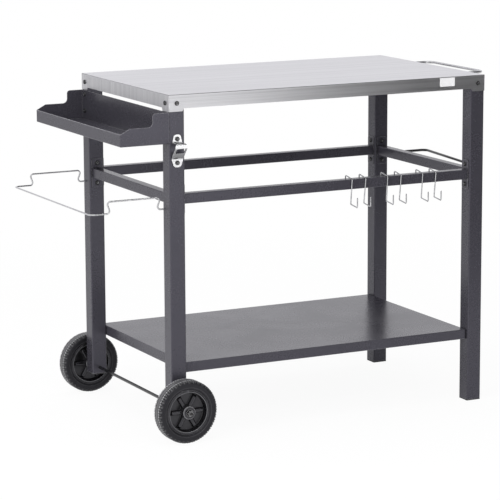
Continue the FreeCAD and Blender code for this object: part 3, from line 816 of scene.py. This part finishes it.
# a circle carried along a path, drawn in to a dome at each end
def wireSheet(path, s):
    radius, domeSteps = s["wire"], s["domeSteps"]
    ahead = unit(np.gradient(path, axis=0))
    bow = np.linspace(math.radians(s["domeStart"]), 0, domeSteps)
    nose = (1 - np.sin(bow)) * radius
    path = np.concatenate([path[:1] + ahead[:1] * nose[:, None], path[1:-1],
                           path[-1:] - ahead[-1:] * nose[::-1, None]])
    first, last = (np.repeat(way, domeSteps, 0) for way in (ahead[:1], ahead[-1:]))
    ahead = np.concatenate([first, ahead[1:-1], last])
    thick = np.concatenate([np.cos(bow), np.ones(len(path) - 2 * domeSteps), np.cos(bow[::-1])]) * radius
    aside = unit(np.array([1.0, 1.0, -1.0]))  # no run of the wire goes this way
    across = unit(aside - ahead * (ahead @ aside)[:, None])
    upward = np.cross(ahead, across)
    turn = np.linspace(0, 2 * math.pi, s["sides"], endpoint=False)[:, None]
    ring = np.cos(turn) * across[:, None] + np.sin(turn) * upward[:, None]
    return {"points": path[:, None] + ring * thick[:, None, None], "wrapRows": False}


def hookSheet(number, s):
    low, high = inMillimetres("hook_%d" % number)
    rail = middleOf("rail_front")
    x = (low[0] + high[0]) / 2
    back, mouth = high[1] - s["wire"], low[1] + s["wire"]
    front = rail[1] - s["frontFromMiddle"]
    rest = rail[2] + s["restAboveMiddle"]
    top = rest + s["backLift"]
    foot = rest - s["drop"]
    toe = foot - s["mouthFall"]
    lower = x + s["sway"][number - 1]
    corners = [(x, back, top - s["backDrop"]), (x, back, top), (x, front - s["leanOut"], rest),
               (lower, front + s["leanIn"], foot), (lower, mouth, toe), (lower, mouth, toe + s["tip"])]
    return wireSheet(roundedPath(corners, [0, *[s["bend"]] * 4, 0], s["bendSteps"]), s)


for number in range(1, hookShape["hooks"] + 1):
    sheet = hookSheet(number, hookShape)
    makePiece("wire_hook_%d" % number, sheet, "bright_wire", "sliding_hook_%d" % number, "hook_%d" % number,
              hookShape["crease"])
print("hooks made")


# Studio: white floor and background, soft light from above and from the left
studio = {
    "worldLight": 0.4,
    "roomColour": (0.985, 0.98, 1.01, 1),
    "mirroredWall": (0.25, 1.0),  # what shiny pieces mirror of the room's front and of the white wall behind
    "wallTurn": (0.0, 0.5),  # how far towards the back a ray goes where the one passes into the other
    "mirroredFloor": 0.5,
    "floorHalf": 60.0,
    "floorColour": (0.93, 0.93, 0.93, 1),
    "floorGlow": 0.94,  # how much of the floor by the trolley is plain white to the camera
    "shadowReach": (0.9, 2.6),  # from here to there the floor goes over into the white background
    "lamps": {  # place, aim, width, height, radiance, whether shiny pieces mirror it
        "overhead": ((-0.5, 0.2, 3.2), (-0.2, 0, 0.4), 4.2, 2.5, 1.7, False),
        "leftSoftbox": ((-2.9, -1.5, 1.6), (0, 0, 0.3), 1.8, 1.8, 3.8, False),
        "keyStrip": ((-0.7, -2.9, 2.5), (-0.2, -0.2, 0.3), 4.4, 0.14, 8.0, True),
        "rightGlow": ((1.3, -4.0, 0.5), (0, 0, 0.6), 1.5, 0.9, 1.3, True),
        "frontFill": ((-1.6, -4.6, 2.5), (0, 0, 0.5), 4.4, 3.0, 0.86, True),
    },
    "wattsPerRadiance": 4,  # for a square metre of lamp
    "cards": {  # what shiny pieces mirror in place of lamps: middle, half across, half up, glow
        "overheadCard": ((-0.5, 0.2, 3.2), (2.4, 0, 0), (0, 1.6, 0), 1.15),
        "leftCard": ((-2.9, -1.5, 1.6), (-1.2, 2.3, 0), (0.5, 0.26, 1.5), 1.15),
        "darkFlag": ((2.28, -1.6, 0.97), (1.7, 0, 0), (0, 0, 0.95), 0.075),
    },
}


# 1 for camera and transmitted rays, the given share for mirrored ones, 0 for the rest
def seenRays(tree, mirrored):
    path = addNode(tree, "ShaderNodeLightPath").outputs
    seen = doMath(tree, "MAXIMUM", path["Is Camera Ray"], path["Is Transmission Ray"])
    return doMath(tree, "MAXIMUM", seen, doMath(tree, "MULTIPLY", path["Is Glossy Ray"], mirrored))


# white to the camera, brighter behind than in front to mirrored rays, plain light for the rest
def buildWorld(s):
    world = bpy.data.worlds.new("studio")
    bpy.context.scene.world = world
    world.use_nodes = True
    tree = world.node_tree
    backdrop = tree.nodes["Background"].inputs
    heading = addNode(tree, "ShaderNodeTexCoord").outputs["Generated"]
    behind = addNode(tree, "ShaderNodeSeparateXYZ", {0: heading}).outputs[1]
    mirrored = between(tree, behind, *s["wallTurn"], *s["mirroredWall"])
    path = addNode(tree, "ShaderNodeLightPath").outputs
    light = mixValue(tree, path["Is Glossy Ray"], s["worldLight"], mirrored)
    seen = seenRays(tree, 0.0)
    setSocket(tree, backdrop["Color"], mixColour(tree, seen, s["roomColour"], white))
    setSocket(tree, backdrop["Strength"], mixValue(tree, seen, light, 1.0))


def stageSheet(name, corners):
    mesh = bpy.data.meshes.new(name)
    mesh.from_pydata(corners, [], [(0, 1, 2, 3)])
    sheet = bpy.data.objects.new(name, mesh)
    bpy.context.scene.collection.objects.link(sheet)
    return sheet


# a material with no shader yet, and its surface socket
def bareMaterial(name):
    material = bpy.data.materials.new(name)
    material.use_nodes = True
    tree = material.node_tree
    tree.nodes.remove(tree.nodes["Principled BSDF"])
    return material, tree, tree.nodes["Material Output"].inputs["Surface"]


def addGlow(tree, strength):
    return addNode(tree, "ShaderNodeEmission", {"Color": white, "Strength": strength}).outputs[0]


def buildFloor(s):
    half = s["floorHalf"]
    floor = stageSheet("floor", [(-half, -half, 0), (half, -half, 0), (half, half, 0), (-half, half, 0)])
    paper, tree, surface = bareMaterial("floorPaper")
    matt = addNode(tree, "ShaderNodeBsdfDiffuse", {"Color": s["floorColour"]}).outputs[0]
    spot = addNode(tree, "ShaderNodeTexCoord").outputs["Object"]
    away = addNode(tree, "ShaderNodeVectorMath", {0: spot}, operation="LENGTH").outputs["Value"]
    fresh = between(tree, away, *s["shadowReach"], s["floorGlow"], 1.0)
    share = doMath(tree, "MULTIPLY", seenRays(tree, s["mirroredFloor"]), fresh)
    blend = addNode(tree, "ShaderNodeMixShader", {0: share, 1: matt, 2: addGlow(tree, 1.0)})
    setSocket(tree, surface, blend.outputs[0])
    floor.data.materials.append(paper)


def buildCard(name, middle, across, up, glow):
    middle, across, up = Vector(middle), Vector(across), Vector(up)
    corners = [middle + across * i + up * k for i, k in ((-1, -1), (1, -1), (1, 1), (-1, 1))]
    card = stageSheet(name, corners)
    card.visible_camera = False
    card.visible_diffuse = False
    card.visible_shadow = False
    board, tree, surface = bareMaterial(name)
    setSocket(tree, surface, addGlow(tree, glow))
    card.data.materials.append(board)


def buildLamp(name, place, aim, width, height, energy, mirrored):
    lamp = bpy.data.lights.new(name, "AREA")
    lamp.shape = "RECTANGLE"
    lamp.size, lamp.size_y = width, height
    lamp.energy = energy
    holder = bpy.data.objects.new(name, lamp)
    holder.location = place
    holder.rotation_mode = "QUATERNION"
    holder.rotation_quaternion = (Vector(aim) - Vector(place)).to_track_quat("-Z", "Y")
    holder.visible_camera = False
    holder.visible_glossy = mirrored
    bpy.context.scene.collection.objects.link(holder)


buildWorld(studio)
buildFloor(studio)
for name, card in studio["cards"].items():
    buildCard(name, *card)
for name, (place, aim, width, height, radiance, mirrored) in studio["lamps"].items():
    energy = studio["wattsPerRadiance"] * radiance * width * height
    buildLamp(name, place, aim, width, height, energy, mirrored)
bpy.context.scene.view_settings.view_transform = "Standard"
print("studio lit")
